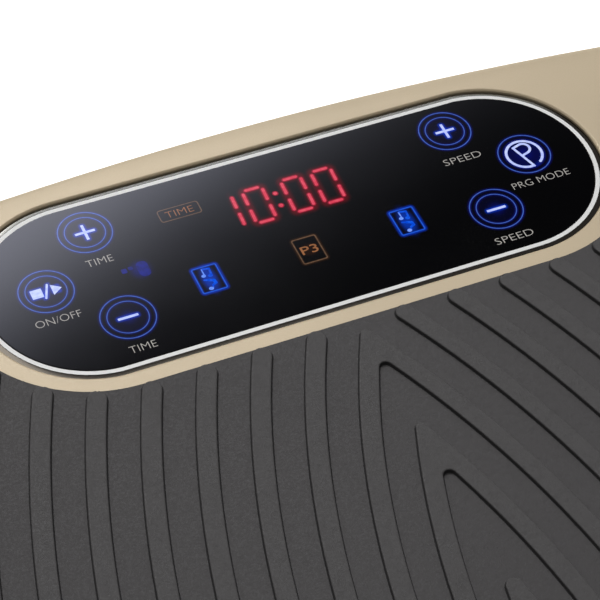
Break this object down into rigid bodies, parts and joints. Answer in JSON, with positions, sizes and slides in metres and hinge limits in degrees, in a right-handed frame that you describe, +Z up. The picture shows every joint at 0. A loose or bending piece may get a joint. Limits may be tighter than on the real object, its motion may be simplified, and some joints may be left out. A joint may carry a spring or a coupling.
{
  "type": "vibration plate",
  "caption": "Slim see-saw vibration plate: a champagne deck with a ribbed standing mat and an oval touch panel rocks on a central pivot above a black base, driven by motor, belt and crank.",
  "frame": {"origin": "on the floor under the middle of the plate", "axes": "+X along the plate's length (the user's right), +Y towards the touch panel, +Z up"},
  "size_m": [0.548, 0.344, 0.1212],
  "materials": {
    "gold": "champagne moulded plastic, fine satin",
    "mat": "fine matte texture, moulded ribs",
    "silver": "bright satin silver plating",
    "glass": "black back-printed glass, high gloss",
    "black": "fine textured black moulding",
    "socket": "semi-gloss black moulding",
    "rubber": "matte black rubber",
    "steel": "plain pressed steel",
    "zinc": "zinc plated or ground steel",
    "painted": "black powder coat",
    "cast": "as cast, lightly machined",
    "aluminium": "turned or extruded, satin",
    "board": "green circuit board",
    "digits": "dark digit module",
    "core": "varnished laminations and taped winding",
    "lead": "insulated lead"
  },
  "bodies": {
    "base": {"base_shell": "black", "base_frame": "painted", "foot_front_left": "rubber", "foot_screw_front_left": "zinc", "buffer_front_left": "rubber", "foot_front_right": "rubber", "foot_screw_front_right": "zinc", "buffer_front_right": "rubber", "foot_back_left": "rubber", "foot_screw_back_left": "zinc", "buffer_back_left": "rubber", "foot_back_right": "rubber", "foot_screw_back_right": "zinc", "buffer_back_right": "rubber", "pivot_block_front": "cast", "pivot_bearing_front": "zinc", "crank_block_front": "cast", "crank_bearing_front": "zinc", "pivot_block_back": "cast", "pivot_bearing_back": "zinc", "crank_block_back": "cast", "crank_bearing_back": "zinc", "motor_housing": "steel", "motor_bracket": "painted", "drive_belt": "rubber", "control_board": "board", "heat_sink": "aluminium", "transformer": "core", "inlet_lead": "lead", "speaker_left": "black", "speaker_right": "black", "power_inlet": "socket", "switch_bezel": "socket"},
    "platform": {"top_housing": "gold", "standing_mat": "mat", "bezel_ring": "silver", "panel_glass": "glass", "display_board": "board", "led_display": "digits", "platform_frame": "steel", "deck_screw_1": "zinc", "deck_screw_2": "zinc", "deck_screw_3": "zinc", "deck_screw_4": "zinc", "deck_screw_5": "zinc", "deck_screw_6": "zinc", "pivot_pin_front": "zinc", "pivot_pin_back": "zinc", "rod_pin_front": "zinc", "rod_pin_back": "zinc"},
    "crank": {"crank_shaft": "zinc", "eccentric_front": "steel", "eccentric_back": "steel", "driven_pulley": "aluminium"},
    "rotor": {"motor_shaft": "zinc", "drive_pulley": "aluminium", "motor_fan": "black"},
    "rod_front": {"connecting_rod_front": "cast"},
    "rod_back": {"connecting_rod_back": "cast"},
    "rocker": {"switch_rocker": "socket"}
  },
  "joints": [
    {"name": "platform_rock", "type": "hinge", "parent": "base", "child": "platform", "pos_m": [0, 0, 0.066], "axis": [0, 1, 0], "range_deg": [-1.15, 1.15]},
    {"name": "crank_spin", "type": "hinge", "parent": "base", "child": "crank", "pos_m": [0.08, 0, 0.05], "axis": [0, 1, 0], "continuous": true},
    {"name": "rotor_spin", "type": "hinge", "parent": "base", "child": "rotor", "pos_m": [-0.115, 0, 0.057], "axis": [0, 1, 0], "continuous": true},
    {"name": "rod_front_swing", "type": "hinge", "parent": "platform", "child": "rod_front", "pos_m": [0.08, -0.032, 0.086], "axis": [0, 1, 0], "range_deg": [-1.2, 1.2]},
    {"name": "rod_back_swing", "type": "hinge", "parent": "platform", "child": "rod_back", "pos_m": [0.08, 0.032, 0.086], "axis": [0, 1, 0], "range_deg": [-1.2, 1.2]},
    {"name": "switch_press", "type": "hinge", "parent": "base", "child": "rocker", "pos_m": [0.026, 0.157, 0.036], "axis": [1, 0, 0], "range_deg": [-16, 0]}
  ],
  "couplings": [
    {"joint": "rotor_spin", "follows": "crank_spin", "ratio": 2},
    {"joint": "rod_front_swing", "follows": "platform_rock", "ratio": -1},
    {"joint": "rod_back_swing", "follows": "platform_rock", "ratio": -1}
  ]
}
